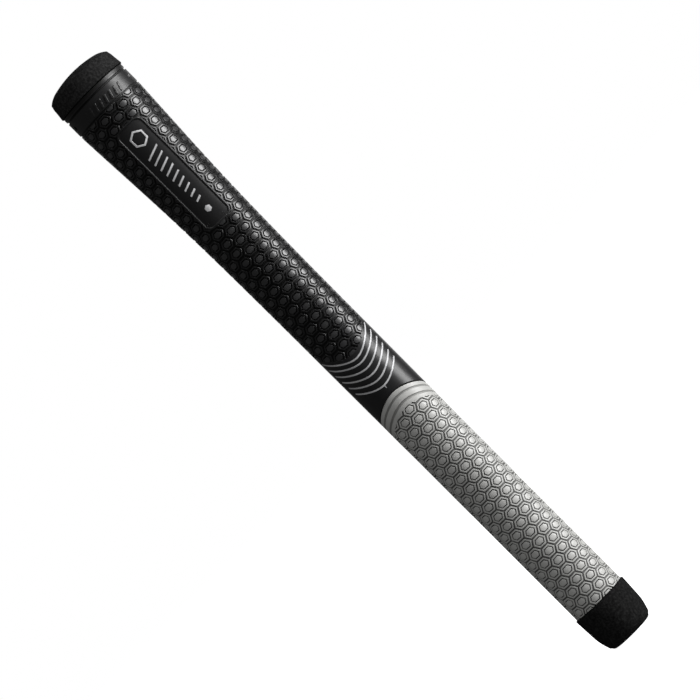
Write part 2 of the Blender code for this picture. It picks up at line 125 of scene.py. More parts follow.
# %% White surroundings
ROOM_LIGHT = 0.15
ROOM_MIRRORED = 0.06
world = bpy.data.worlds.new("surroundings")
scene.world = world
world.use_nodes = True
tree = world.node_tree
sky = tree.nodes["Background"]
path = tree.nodes.new("ShaderNodeLightPath")
room = tree.nodes.new("ShaderNodeMapRange")
room.inputs["To Min"].default_value = ROOM_LIGHT
room.inputs["To Max"].default_value = ROOM_MIRRORED
tree.links.new(path.outputs["Is Glossy Ray"], room.inputs["Value"])
brightness = tree.nodes.new("ShaderNodeMapRange")
brightness.inputs["To Max"].default_value = 1.0
tree.links.new(path.outputs["Is Camera Ray"], brightness.inputs["Value"])
tree.links.new(room.outputs["Result"], brightness.inputs["To Min"])
tree.links.new(brightness.outputs["Result"], sky.inputs["Strength"])
sky.inputs["Color"].default_value = (1.0, 1.0, 1.0, 1.0)
scene.view_settings.view_transform = "Standard"
print("view transform:", scene.view_settings.view_transform)

# %% Pale floor
FLOOR_RADIUS = 8.0
FLOOR_GLOW = 0.95
floor_shape = bmesh.new()
bmesh.ops.create_circle(floor_shape, cap_ends=True, segments=96, radius=FLOOR_RADIUS)
floor_mesh = bpy.data.meshes.new("floor")
floor_shape.to_mesh(floor_mesh)
floor_shape.free()
floor = bpy.data.objects.new("floor", floor_mesh)
scene.collection.objects.link(floor)
floor.visible_diffuse = False
floor.visible_glossy = False
floor_paint = bpy.data.materials.new("floor_white")
floor_paint.use_nodes = True
floor_shader = floor_paint.node_tree.nodes["Principled BSDF"]
floor_shader.inputs["Base Color"].default_value = (0.9, 0.9, 0.9, 1.0)
floor_shader.inputs["Emission Color"].default_value = (1.0, 1.0, 1.0, 1.0)
floor_shader.inputs["Emission Strength"].default_value = FLOOR_GLOW
floor_mesh.materials.append(floor_paint)
print("floor radius", FLOOR_RADIUS, "m")

# %% [markdown]
# ## The taper
# Both skins follow a turned shape. The lower hand is nearly straight and the upper hand swells in
# a smooth S-curve up to the neck, so two short formulas give the radius at any height. The joint
# and the arcs share a third, a line that sweeps down or up from its middle at the front. Every
# piece below is bent round these same shapes, so all of them fit each other and the solid model.

# %% Radii of the two skins
JOINT_RADIUS = 10.44 * MM
JOINT_APEX = 114.55 * MM
UPPER_START = 110.0 * MM
UPPER_TAPER = 0.0027
SWELL = 3.79 * MM
SWELL_MIDDLE = 232.5 * MM
SWELL_SPREAD = 19.0 * MM
NECK_RADIUS = 13.5 * MM
LOWER_RADIUS = 10.36 * MM
COLLAR_SWELL = 0.08 * MM
COLLAR_START = 92.0 * MM
COLLAR_SPREAD = 10.0 * MM


def ease(value):
    """Smooth step from 0 to 1."""
    value = min(max(value, 0.0), 1.0)
    return value * value * (3.0 - 2.0 * value)


def skin_radius(height):
    """Outer radius of the upper skin."""
    swell = SWELL / (1.0 + math.exp((SWELL_MIDDLE - height) / SWELL_SPREAD))
    return min(JOINT_RADIUS + UPPER_TAPER * (height - UPPER_START) + swell, NECK_RADIUS)


def lower_radius(height):
    """Outer radius of the lower skin, which thins a little below its collar."""
    return LOWER_RADIUS + COLLAR_SWELL * ease((height - COLLAR_START) / COLLAR_SPREAD)


# %% Swept lines round the grip
MOST_CLIMB = 11.0 * MM
JOINT_SWEEP = (2.97 * MM, 0.51)


def sweep(around, rounding, slope):
    """Climb of a line at a distance round the grip from its middle, levelled off at the back."""
    climb = (math.hypot(rounding, slope * around) - rounding) / MOST_CLIMB
    return MOST_CLIMB * climb / (1.0 + climb ** 6) ** (1.0 / 6.0)


def joint_height(angle):
    """Height of the swept joint between the skins, highest at the front."""
    return JOINT_APEX - sweep(JOINT_RADIUS * angle, *JOINT_SWEEP)


print("joint at", [round(joint_height(angle) / MM, 1) for angle in (0.0, math.pi)], "mm, front and back")

# %% [markdown]
# ## A sheet of honeycomb
# The real pattern is pressed into a flat sheet before it is wrapped: rows of hexagons, each a
# raised ring with a pad in the middle and a groove round both. We make it flat too. One hexagon is
# repeated with Spin, which gives a plain row when its angle is zero, and then each cell is inset
# again and again, with every new ring set to its own depth. Here x runs round the grip, z along
# it, and y is the depth into the skin. The value "relief" tells the finish what a point belongs
# to: from 0 on a ring's top to 1 in the deepest groove, and a mark below 0 for plain parts and pads.

# %% Hexagons in rows
SKIN_DEPTH = 0.9 * MM
PLAIN = -0.2
PAD = -1.0
VALLEY = 0.5


def everything(shape):
    """All points, edges and faces."""
    return shape.verts[:] + shape.edges[:] + shape.faces[:]


def hexagon_rows(round_pitch, along_pitch, first, columns, rows):
    """Flat sheet of touching hexagons; first is the centre (x, z) of the lowest left one."""
    shape = bmesh.new()
    radius = round_pitch / 1.5
    bmesh.ops.create_circle(shape, cap_ends=True, segments=6, radius=radius)
    upright = Matrix.Rotation(math.radians(90.0), 4, "X") @ Matrix.Rotation(math.radians(30.0), 4, "Z")
    squash = Matrix.Diagonal((1.0, 1.0, along_pitch / (math.sqrt(3.0) * radius), 1.0))
    place = Matrix.Translation((first[0], 0.0, first[1]))
    bmesh.ops.transform(shape, matrix=place @ squash @ upright, verts=shape.verts)
    for edge in list(shape.edges):
        if abs(edge.verts[0].co.z - edge.verts[1].co.z) < TOLERANCE:
            bmesh.utils.edge_split(edge, edge.verts[0], 0.5)
    row = {"angle": 0.0, "axis": (0.0, 0.0, 1.0), "cent": (0.0, 0.0, 0.0), "use_duplicate": True}
    bmesh.ops.spin(shape, geom=everything(shape), dvec=(0.0, 0.0, along_pitch), steps=rows - 1, **row)
    copy = bmesh.ops.duplicate(shape, geom=everything(shape))["geom"]
    points = [item for item in copy if isinstance(item, bmesh.types.BMVert)]
    bmesh.ops.translate(shape, vec=(round_pitch, 0.0, along_pitch / 2.0), verts=points)
    pair = (2.0 * round_pitch, 0.0, 0.0)
    bmesh.ops.spin(shape, geom=everything(shape), dvec=pair, steps=columns // 2 - 1, **row)
    bmesh.ops.remove_doubles(shape, verts=shape.verts, dist=TOLERANCE)
    return shape


def skew(shape, height, shift, lean):
    """Lean the columns a little, as in a sheet wrapped by hand; shift is at the given height."""
    for point in shape.verts:
        point.co.x += shift + lean * (point.co.z - height)


def press_rings(shape, valley_depth, rings):
    """Inset every cell ring by ring, each (width, depth inside it) in mm; the last is the pad."""
    relief = shape.verts.layers.float.new("relief")
    cells = list(shape.faces)
    rings = [(width * MM, depth * MM) for width, depth in rings]
    deepest = max(depth for width, depth in rings)
    # the relief set here also darkens the skin's colour with depth, as painted shade in the valleys and
    # grooves
    for point in shape.verts:
        point.co.y = valley_depth
        point[relief] = VALLEY
    for index, (width, depth) in enumerate(rings):
        bmesh.ops.inset_individual(shape, faces=cells, thickness=width, use_even_offset=True)
        for cell in cells:
            for point in cell.verts:
                point.co.y = depth
                point[relief] = depth / deepest if index < len(rings) - 1 else PAD
    for point in bmesh.ops.poke(shape, faces=cells)["verts"]:
        point.co.y = rings[-1][1]
        point[relief] = PAD
    return shape


print("relief of a plain part", PLAIN, "of a pad", PAD, "and between two rings", VALLEY)

# %% [markdown]
# ## Cutting and growing a sheet
# The honeycomb stops at clean lines: along the neck, round the smooth panel, and along a curve
# above the silver arcs. To cut a flat sheet along any line we split each edge where the line
# crosses it and join the new points across the faces. The smooth parts are then grown from that
# border, row by row, by extruding its edges; each row gets its own height and depth, so a pressed
# groove is just a few rows that dip. This keeps the sheet in one piece with no loose seams.

# %% Cut a sheet along a line
SNAP = 0.015 * MM
END_SHARE = 0.02
SMALL_STEP = 0.5 * MM


def line_share(start, end, side):
    """How far from start to end side() passes zero."""
    low, high = 0.0, 1.0
    low_value, high_value = side(start), side(end)
    share = 0.5
    for _ in range(4):
        share = low + (high - low) * low_value / (low_value - high_value)
        value = side(start.lerp(end, share))
        if value * low_value > 0.0:
            low, low_value = share, value
        else:
            high, high_value = share, value
        if low_value == high_value:
            break
    return min(max(share, END_SHARE), 1.0 - END_SHARE)


def cut_line(shape, side, edges=None):
    """Add edges to a sheet along the line where side(place) is zero."""
    edges = list(edges or shape.edges)
    touched = {point for edge in edges for point in edge.verts}
    values = {point: side(point.co) for point in touched}
    joined = []
    for point, value in values.items():
        if abs(value) < SNAP:
            values[point] = 0.0
            joined.append(point)
    for edge in edges:
        start, end = edge.verts
        if values[start] * values[end] < 0.0:
            share = line_share(start.co, end.co, side)
            joined.append(bmesh.utils.edge_split(edge, start, share)[1])
    bmesh.ops.connect_verts(shape, verts=joined)


def trim(shape, side):
    """Cut a sheet and drop what lies where side(place) is above zero."""
    cut_line(shape, side)
    beyond = [face for face in shape.faces if side(face.calc_center_median()) > 0.0]
    bmesh.ops.delete(shape, geom=beyond, context="FACES")


print("lines snap to points within", SNAP / MM, "mm")

# %% Grow rows from a border
def grow(shape, edges, place, relief_value=PLAIN):
    """Extrude border edges once and move each new point to place(point)."""
    relief = shape.verts.layers.float["relief"]
    made = bmesh.ops.extrude_edge_only(shape, edges=edges)["geom"]
    points = {item for item in made if isinstance(item, bmesh.types.BMVert)}
    for point in points:
        point.co = place(point.co)
        point[relief] = relief_value
    return [item for item in made if isinstance(item, bmesh.types.BMEdge) and points.issuperset(item.verts)]


def grow_rows(shape, edges, rows):
    """Grow one row for each (height function of the angle, depth, relief)."""
    for height_at, depth, relief_value in rows:
        edges = grow(
            shape,
            edges,
            lambda place: Vector((place.x, depth, height_at(place.x / STRIP_RADIUS))),
            relief_value,
        )
    return edges


def plain_rows(*heights_at):
    """Plain rows that follow the given height functions."""
    return [(height_at, 0.0, PLAIN) for height_at in heights_at]


def split_long(shape, edges):
    """Divide border edges that are longer than a small step, and return them all."""
    done = []
    for edge in edges:
        parts = max(1, math.ceil(edge.calc_length() / SMALL_STEP))
        done.append(edge)
        for part in range(parts, 1, -1):
            made, _ = bmesh.utils.edge_split(edge, edge.verts[0], 1.0 / part)
            done.append(made)
    return done


print("grown borders have edges of at most", SMALL_STEP / MM, "mm")

# %% [markdown]
# ## Wrapping a sheet round the taper
# The grip is thicker at the top, so a sheet that covers it is wider there. Once the honeycomb is
# cut to that tapered outline we stretch it to a plain strip, where x is the angle round the grip
# times a fixed radius: now straight up means straight up the grip. The strip gets a wall at its
# edges and a plain inner face, and is bent round the taper last. A smooth tube shades evenly only
# when its normals follow the true curve, so the plain parts are given the taper's own normals.

# %% Strip, wall and wrap
STRIP_RADIUS = 12.0 * MM
SEAM_HALF_GAP = 0.15 * MM
OUTER_PART = 0.6 * SKIN_DEPTH
FLAT = 0.002 * MM
INNER_STRIPS = 20
INNER_LEVELS = 14
RING_ROUNDING = 0.1
PAD_ROUNDING = 0.35


def stretch_to_strip(shape, radius_at):
    """Turn distances round the grip into angles, times the strip's radius."""
    for point in shape.verts:
        point.co.x *= STRIP_RADIUS / radius_at(point.co.z)


def seam_side(radius_at):
    """Side function of the two edges that meet at the back, before the stretch."""
    return lambda place: abs(place.x) - math.pi * radius_at(place.z) + SEAM_HALF_GAP


def close_back(shape):
    """Fold a wall down from the outline and fill the inner face in strips that can bend."""
    outline = [edge for edge in shape.edges if edge.is_boundary]
    for edge in outline:
        edge.smooth = False
    inner = grow(shape, outline, lambda place: Vector((place.x, SKIN_DEPTH, place.z)))
    for edge in inner:
        edge.smooth = False
    bmesh.ops.contextual_create(shape, geom=inner)
    lowest = min(point.co.z for point in shape.verts)
    highest = max(point.co.z for point in shape.verts)
    for index in range(1 - INNER_STRIPS, INNER_STRIPS):
        across = index * math.pi * STRIP_RADIUS / INNER_STRIPS
        cut_line(shape, lambda place: place.x - across, inner_edges(shape))
    for index in range(1, INNER_LEVELS):
        height = lowest + (highest - lowest) * index / INNER_LEVELS
        cut_line(shape, lambda place: place.z - height, inner_edges(shape))
    bmesh.ops.recalc_face_normals(shape, faces=shape.faces)


def inner_edges(shape):
    """Edges that lie on the inner face."""
    lowest = SKIN_DEPTH - TOLERANCE
    return [edge for edge in shape.edges if min(point.co.y for point in edge.verts) > lowest]


def wrap(shape, radius_at):
    """Bend a strip round the taper and return a normal for each point, zero for the shape's own."""
    relief = shape.verts.layers.float["relief"]
    normals = []
    crowns = []
    for point in shape.verts:
        depth = point.co.y
        angle = point.co.x / STRIP_RADIUS
        slope = (radius_at(point.co.z + 0.5 * MM) - radius_at(point.co.z - 0.5 * MM)) / MM
        around = {other.co.y for face in point.link_faces for other in face.verts}
        plain = depth < OUTER_PART and max(around) - min(around) < FLAT
        crown = abs(depth) < TOLERANCE and max(around) < OUTER_PART
        true_normal = Vector((math.sin(angle), -math.cos(angle), -slope)).normalized()
        normals.append(true_normal if plain or crown else Vector((0.0, 0.0, 0.0)))
        crowns.append(crown and not plain)
        reach = radius_at(point.co.z) - depth
        point.co.x = reach * math.sin(angle)
        point.co.y = -reach * math.cos(angle)
    shape.normal_update()
    for index, point in enumerate(shape.verts):
        if crowns[index]:
            rounding = PAD_ROUNDING if point[relief] == PAD else RING_ROUNDING
            normals[index] = normals[index].lerp(point.normal, rounding).normalized()
    return normals


print("strip", round(math.tau * STRIP_RADIUS / MM, 1), "mm wide and", SKIN_DEPTH / MM, "mm thick")

# %% Put a finished piece in the scene
def add_piece(name, shape, material, replaced, normals=None):
    """Mesh object that rides on the frame's one body and stands for the named solids."""
    mesh = bpy.data.meshes.new(name)
    shape.to_mesh(mesh)
    shape.free()
    for face in mesh.polygons:
        face.use_smooth = True
    if normals:
        mesh.normals_split_custom_set_from_vertices(normals)
    mesh.materials.append(material)
    piece = bpy.data.objects.new(name, mesh)
    scene.collection.objects.link(piece)
    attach(piece, "root")
    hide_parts(*replaced)
    triangles = sum(len(face.vertices) - 2 for face in mesh.polygons)
    print(f"{name}: {triangles} triangles")



# %% [markdown]
# ## Finishes
# Each finish is a small node tree on the object's own coordinates. A fine noise gives the grain,
# and a broad one makes the gloss and tone wander a little, as handling does. The skins also read
# the stored relief: the pads are palest and carry a thin waxy coat, the rings are polished by
# hands, the smooth parts are satin, and the grooves are dull. The skin colour also darkens with
# depth, down the slopes and into the grooves and dimples: that darkening is painted shade.

# %% Helpers for node trees
NOISE_LOW = 0.3
NOISE_HIGH = 0.7


def new_finish(name, roughness, specular=0.5):
    """Material with a Principled shader and Object coordinates."""
    material = bpy.data.materials.new(name)
    material.use_nodes = True
    tree = material.node_tree
    shader = tree.nodes["Principled BSDF"]
    shader.inputs["Roughness"].default_value = roughness
    shader.inputs["Specular IOR Level"].default_value = specular
    coordinates = tree.nodes.new("ShaderNodeTexCoord")
    return material, tree, shader, coordinates.outputs["Object"]


def add_noise(tree, place, scale, detail, roughness=0.5):
    """Noise value on the given coordinates; scale is waves to the metre."""
    noise = tree.nodes.new("ShaderNodeTexNoise")
    noise.inputs["Scale"].default_value = scale
    noise.inputs["Detail"].default_value = detail
    noise.inputs["Roughness"].default_value = roughness
    tree.links.new(place, noise.inputs["Vector"])
    return noise.outputs["Fac"]


def add_range(tree, value, low, high, to_low, to_high):
    """Map a value from one range to another."""
    node = tree.nodes.new("ShaderNodeMapRange")
    settings = {"From Min": low, "From Max": high, "To Min": to_low, "To Max": to_high}
    for socket, number in settings.items():
        node.inputs[socket].default_value = number
    tree.links.new(value, node.inputs["Value"])
    return node.outputs["Result"]


def add_spread(tree, noise, to_low, to_high):
    """Map a noise from the span that it mostly keeps to."""
    return add_range(tree, noise, NOISE_LOW, NOISE_HIGH, to_low, to_high)


def add_sum(tree, first, second, operation="ADD"):
    """Combine two values."""
    node = tree.nodes.new("ShaderNodeMath")
    node.operation = operation
    tree.links.new(first, node.inputs[0])
    tree.links.new(second, node.inputs[1])
    return node.outputs["Value"]


def add_ramp(tree, value, colours):
    """Colour ramp with evenly placed stops."""
    node = tree.nodes.new("ShaderNodeValToRGB")
    ramp = node.color_ramp
    while len(ramp.elements) < len(colours):
        ramp.elements.new(0.5)
    for index, (stop, colour) in enumerate(zip(ramp.elements, colours)):
        stop.position = index / (len(colours) - 1)
        stop.color = (*colour, 1.0)
    tree.links.new(value, node.inputs["Fac"])
    return node.outputs["Color"]


def add_bump(tree, shader, height, strength, distance):
    """Drive the shader's normal from a height."""
    node = tree.nodes.new("ShaderNodeBump")
    node.inputs["Strength"].default_value = strength
    node.inputs["Distance"].default_value = distance
    tree.links.new(height, node.inputs["Height"])
    tree.links.new(node.outputs["Normal"], shader.inputs["Normal"])


print("finish helpers ready")

# %% Rubber of the two caps
def make_cap_rubber(name, tone):
    """Dull moulded rubber with a fine open grain."""
    material, tree, shader, place = new_finish(name, 0.8, 0.03)
    grain = add_noise(tree, place, 1300.0, 3.0, 0.6)
    cloud = add_noise(tree, place, 110.0, 2.0)
    mottle = add_sum(tree, grain, add_spread(tree, cloud, -0.03, 0.03))
    spread = add_spread(tree, mottle, 0.0, 1.0)
    colours = [(tone * share,) * 3 for share in (0.4, 0.95, 1.9)]
    tree.links.new(add_ramp(tree, spread, colours), shader.inputs["Base Color"])
    tree.links.new(add_spread(tree, cloud, 0.72, 0.88), shader.inputs["Roughness"])
    add_bump(tree, shader, grain, 0.8, 0.08 * MM)
    return material


BUTT_RUBBER = make_cap_rubber("butt_cap_rubber", 0.0168)
MOUTH_RUBBER = make_cap_rubber("mouth_cap_rubber", 0.0115)
print("made", BUTT_RUBBER.name, "and", MOUTH_RUBBER.name)

# %% Skins of soft polymer
RING_RELIEF = 0.05
GROOVE_RELIEF = 0.85
COAT_ROUGHNESS = 0.4
WANDER = 0.04


def make_skin(name, colours, gloss, specular, grain_depth, pad_wax):
    """Soft skin; gloss holds the roughness of pads, rings, plain parts and grooves, in that order."""
    on_pad, on_ring, on_plain, in_groove = gloss
    material, tree, shader, place = new_finish(name, on_plain, specular)
    relief = tree.nodes.new("ShaderNodeAttribute")
    relief.attribute_name = "relief"
    level = relief.outputs["Fac"]
    depth = add_range(tree, level, RING_RELIEF, GROOVE_RELIEF, 0.0, 1.0)
    grain = add_noise(tree, place, 2600.0, 3.0, 0.6)
    cloud = add_noise(tree, place, 90.0, 3.0)
    # painted shade: the colour darkens with depth, from a ring's top down to the deepest groove
    below = add_range(tree, depth, 0.0, 1.0, 0.333, 1.0)
    on_top = add_range(tree, level, PAD, -0.3, -0.333, 0.0)
    tone = add_sum(tree, add_sum(tree, below, on_top), add_spread(tree, cloud, -WANDER, WANDER))
    tree.links.new(add_ramp(tree, tone, colours), shader.inputs["Base Color"])
    worn = add_range(tree, depth, 0.0, 1.0, on_ring, in_groove)
    plain = add_range(tree, level, PLAIN, 0.0, on_plain - on_ring, 0.0)
    polished = add_range(tree, level, PAD, PLAIN, on_pad - on_plain, 0.0)
    wander = add_spread(tree, cloud, -WANDER, WANDER)
    gloss_map = add_sum(tree, add_sum(tree, worn, plain), add_sum(tree, polished, wander))
    tree.links.new(gloss_map, shader.inputs["Roughness"])
    tree.links.new(add_range(tree, level, PAD, -0.6, pad_wax, 0.0), shader.inputs["Coat Weight"])
    shader.inputs["Coat Roughness"].default_value = COAT_ROUGHNESS
    add_bump(tree, shader, grain, 0.35, grain_depth)
    return material


# tones run from a pad, over a ring or a plain part and a slope, to the deepest groove;
# the darkening from a ring's top down to a groove is painted shade
BLACK_TONES_WITH_PAINTED_SHADE = (
    (0.028, 0.028, 0.029), (0.014, 0.014, 0.0145), (0.008, 0.008, 0.008), (0.001, 0.001, 0.001),
)
GREY_TONES_WITH_PAINTED_SHADE = (
    (0.47, 0.47, 0.455), (0.46, 0.46, 0.445), (0.25, 0.25, 0.24), (0.045, 0.045, 0.044),
)
BLACK_SKIN = make_skin(
    "black_skin_satin", BLACK_TONES_WITH_PAINTED_SHADE, gloss=(0.30, 0.26, 0.37, 0.55), specular=0.38,
    grain_depth=0.012 * MM, pad_wax=0.6,
)
GREY_SKIN = make_skin(
    "grey_skin_satin", GREY_TONES_WITH_PAINTED_SHADE, gloss=(0.42, 0.42, 0.46, 0.6), specular=0.5,
    grain_depth=0.025 * MM, pad_wax=0.3,
)
print("made", BLACK_SKIN.name, "and", GREY_SKIN.name)

# %% Silver paint, felt and the inner rubber
def make_silver(name, tone):
    """Silver paint with fine flakes that vary its tone and gloss."""
    material, tree, shader, place = new_finish(name, 0.4, 0.35)
    shader.inputs["Metallic"].default_value = 0.1
    flake = add_noise(tree, place, 5200.0, 2.0)
    cloud = add_noise(tree, place, 260.0, 3.0)
    spread = add_range(tree, add_sum(tree, flake, cloud), 0.7, 1.3, 0.0, 1.0)
    colours = [(tone * share, tone * share, tone * share + 0.01) for share in (0.75, 1.0, 1.2)]
    tree.links.new(add_ramp(tree, spread, colours), shader.inputs["Base Color"])
    tree.links.new(add_spread(tree, cloud, 0.32, 0.48), shader.inputs["Roughness"])
    add_bump(tree, shader, flake, 0.25, 0.01 * MM)
    return material


def make_felt():
    """Pale backing felt: matted fibres in two lengths of wave."""
    material, tree, shader, place = new_finish("backing_felt", 0.95, 0.2)
    fibre = add_noise(tree, place, 3800.0, 5.0, 0.7)
    tuft = add_noise(tree, place, 700.0, 2.0)
    matting = add_sum(tree, fibre, tuft, "MULTIPLY")
    tones = add_ramp(tree, matting, ((0.30, 0.30, 0.28), (0.62, 0.62, 0.58)))
    tree.links.new(tones, shader.inputs["Base Color"])
    add_bump(tree, shader, fibre, 0.8, 0.1 * MM)
    return material


def make_sleeve_rubber():
    """Black inner rubber, buffed dull so that tape grips it."""
    material, tree, shader, place = new_finish("sleeve_rubber_buffed", 0.85, 0.3)
    grain = add_noise(tree, place, 1200.0, 4.0, 0.6)
    tones = add_ramp(tree, grain, ((0.012, 0.012, 0.012), (0.028, 0.028, 0.028)))
    tree.links.new(tones, shader.inputs["Base Color"])
    tree.links.new(add_spread(tree, grain, 0.78, 0.92), shader.inputs["Roughness"])
    add_bump(tree, shader, grain, 0.5, 0.08 * MM)
    return material


ARC_SILVER = make_silver("arc_silver_flake", 0.51)
PANEL_SILVER = make_silver("panel_silver_flake", 0.68)
INNER_LAYERS = {
    "underlisting": make_sleeve_rubber(),
    "upper_felt": make_felt(),
    "lower_felt": make_felt(),
}
for node, finish in INNER_LAYERS.items():
    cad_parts[node].data.materials.clear()
    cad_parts[node].data.materials.append(finish)
print("made", ARC_SILVER.name, PANEL_SILVER.name, "and gave the inner layers their finishes")

# %% [markdown]
# ## The upper skin
# The black skin is one sheet from the neck to the swept joint. We press its honeycomb, trim the
# field to its outline, and then grow the smooth parts: the neck with its two pressed grooves, the
# sunk panel at the front, and the land that carries the silver arcs.

# %% Curves that shape the upper skin
ARC_COUNT = 6
ARC_STEP = 2.707 * MM
TOP_ARC = 131.09 * MM
NEXT_ARC = 129.0 * MM
ARC_MIDDLE = -0.25 * MM
TOP_ARC_SWEEP = (2.61 * MM, 0.668)
ARC_SWEEP = (2.78 * MM, 0.618)
LONGEST_REACH = 13.5 * MM
REACH_STEP = 0.5 * MM
FIELD_TOP = 248.65 * MM
FIELD_GAP = 1.9 * MM


def arc_apex(index):
    """Height of an arc's middle; the top arc sits a little closer to the next one."""
    return TOP_ARC if index == 0 else NEXT_ARC - ARC_STEP * (index - 1)


def arc_rise(index, around):
    """How far an arc has climbed at a distance round the grip from its middle."""
    return sweep(around, *(ARC_SWEEP if index else TOP_ARC_SWEEP))


def arc_row(index, offset):
    """Height function of a row that keeps a distance from one arc."""
    apex = arc_apex(index)
    return lambda angle: apex + offset + arc_rise(index, angle * skin_radius(apex) - ARC_MIDDLE)


def arc_reach(index):
    """Half length of an arc, measured round the grip."""
    return LONGEST_REACH - REACH_STEP * index


def field_end(place):
    """Side function of the honeycomb's lower edge, above the first arc."""
    return TOP_ARC + FIELD_GAP + arc_rise(0, place.x - ARC_MIDDLE) - place.z


print("arcs at", [round(arc_apex(index) / MM, 1) for index in range(ARC_COUNT)])

# %% Rounded outline of the panel
PANEL_MIDDLE = 218.25 * MM
PANEL_HALF_LENGTH = 22.25 * MM
PANEL_HALF_WIDTH = 5.22 * MM
PANEL_CORNER = 2.4 * MM
TIGHTEST_CORNER = 0.15 * MM
PANEL_MARGIN = 0.6 * MM


def rounded_distance(sides, ends, corner):
    """Distance outside a rounded outline, from how far a place is past its core's sides and ends."""
    return math.hypot(max(sides, 0.0), max(ends, 0.0)) + min(max(sides, ends), 0.0) - corner


def panel_distance(across, height):
    """Distance outside the panel's rounded outline, negative inside."""
    sides = abs(across) - PANEL_HALF_WIDTH + PANEL_CORNER
    ends = abs(height - PANEL_MIDDLE) - PANEL_HALF_LENGTH + PANEL_CORNER
    return rounded_distance(sides, ends, PANEL_CORNER)


def panel_border(place):
    """Side function of the honeycomb's edge round the panel, on the front half only."""
    angle = place.x / skin_radius(place.z)
    if abs(angle) > math.pi / 2.0:
        return -1.0
    return PANEL_MARGIN - panel_distance(skin_radius(place.z) * math.sin(angle), place.z)


def panel_row(inset, depth):
    """Placing function for a row that lies a distance inside the panel's outline."""
    corner = max(PANEL_CORNER - inset, TIGHTEST_CORNER)
    half_width = PANEL_HALF_WIDTH - inset - corner
    half_length = PANEL_HALF_LENGTH - inset - corner

    def place_row(place):
        radius = skin_radius(place.z)
        across = radius * math.sin(place.x / STRIP_RADIUS)
        height = place.z - PANEL_MIDDLE
        core = Vector((across, height))
        core.x = min(max(across, -half_width), half_width)
        core.y = min(max(height, -half_length), half_length)
        out = (Vector((across, height)) - core).normalized() * corner
        across, height = core + out
        height += PANEL_MIDDLE
        angle = math.asin(across / skin_radius(height))
        return Vector((angle * STRIP_RADIUS, depth, height))

    return place_row


print("panel", 2 * PANEL_HALF_WIDTH / MM, "by", 2 * PANEL_HALF_LENGTH / MM, "mm")

# %% Press and trim the black honeycomb
# from a cell's border inwards: outer groove, raised ring, inner groove, pad
BLACK_RINGS = (
    (0.07, 0.46), (0.26, 0.58),
    (0.08, 0.03), (0.04, 0.00), (0.36, 0.00), (0.04, 0.03),
    (0.08, 0.58), (0.25, 0.58),
    (0.07, 0.03), (0.05, 0.00),
)
BLACK_VALLEY = 0.42 * MM
ROUND_PITCH = 4.45 * MM
BLACK_PITCH = 4.45 * MM
BLACK_FIRST = (0.25 * MM - 10 * ROUND_PITCH, 177.62 * MM - 11 * BLACK_PITCH)
black = hexagon_rows(ROUND_PITCH, BLACK_PITCH, BLACK_FIRST, columns=22, rows=29)
press_rings(black, BLACK_VALLEY, BLACK_RINGS)
skew(black, height=233.0 * MM, shift=0.02 * MM, lean=0.0036)
trim(black, lambda place: place.z - FIELD_TOP)
trim(black, field_end)
trim(black, seam_side(skin_radius))
trim(black, panel_border)
stretch_to_strip(black, skin_radius)
print("black field:", len(black.faces), "faces")


# %% Grow the neck
GROOVE_EDGE = 0.1 * MM
LOWER_GROOVE = 249.42 * MM
UPPER_GROOVE = 255.65 * MM
BAND = [250.1 * MM + index * 0.42 * MM for index in range(12)]
LIP_RELIEF = 0.55
# (height, depth) in millimetres of the rows that roll over the skin's top edge
LIP = ((256.4, 0.0), (256.9, 0.0), (257.3, 0.0), (257.48, 0.06), (257.55, 0.2))


def level(height):
    """Height function of a row that stays level."""
    return lambda angle: height


# a groove's relief value also sets how dark the skin's colour is inside it, as painted shade
def groove_rows(height_at, width, depth, relief_value=0.9, floor_share=0.3):
    """Rows that dip into a pressed groove and come out again."""
    half, floor = 0.5 * width, floor_share * width
    steps = ((-half - GROOVE_EDGE, 0.0), (-half, 0.0), (-floor, depth))
    steps += ((floor, depth), (half, 0.0), (half + GROOVE_EDGE, 0.0))
    return [(shifted(height_at, offset), dip, relief_value if dip else PLAIN) for offset, dip in steps]


def shifted(height_at, offset):
    """Height function moved up by an offset."""
    return lambda angle: height_at(angle) + offset


def border(shape, keep):
    """Boundary edges whose points all satisfy keep(place)."""
    return [edge for edge in shape.edges if edge.is_boundary and all(keep(point.co) for point in edge.verts)]


neck = split_long(black, border(black, lambda place: place.z > FIELD_TOP - 2.0 * TOLERANCE))
neck_rows = groove_rows(level(LOWER_GROOVE), width=0.8 * MM, depth=0.35 * MM, relief_value=0.75)[1:]
neck_rows += plain_rows(*map(level, BAND))
neck_rows += groove_rows(level(UPPER_GROOVE), width=0.95 * MM, depth=0.5 * MM)
neck_rows += [(level(height * MM), depth * MM, LIP_RELIEF) for height, depth in LIP]
grow_rows(black, neck, neck_rows)
print("neck grown from", len(neck), "edges")

# %% Ribs and dimples on the neck
RIB_COUNT = 8
RIB_STEP = 2.25 * MM
RIB_MIDDLE = 251.75 * MM
RIB_SHIFT = 0.5 * MM
RIB_LEAN = 0.3
RIB_HEIGHT = 0.26 * MM
RIB_CORE_HALF_WIDTH = 0.2 * MM
RIB_CORE_HALF_LENGTH = 1.35 * MM
RIB_CORNER = 0.35 * MM
DIMPLE_ANGLES = (math.radians(-69.5), math.radians(69.5))
DIMPLE_MIDDLE = 252.5 * MM
DIMPLE_RADIUS = 0.9 * MM
DIMPLE_DEPTH = 0.7 * MM
FLANK = 0.16 * MM


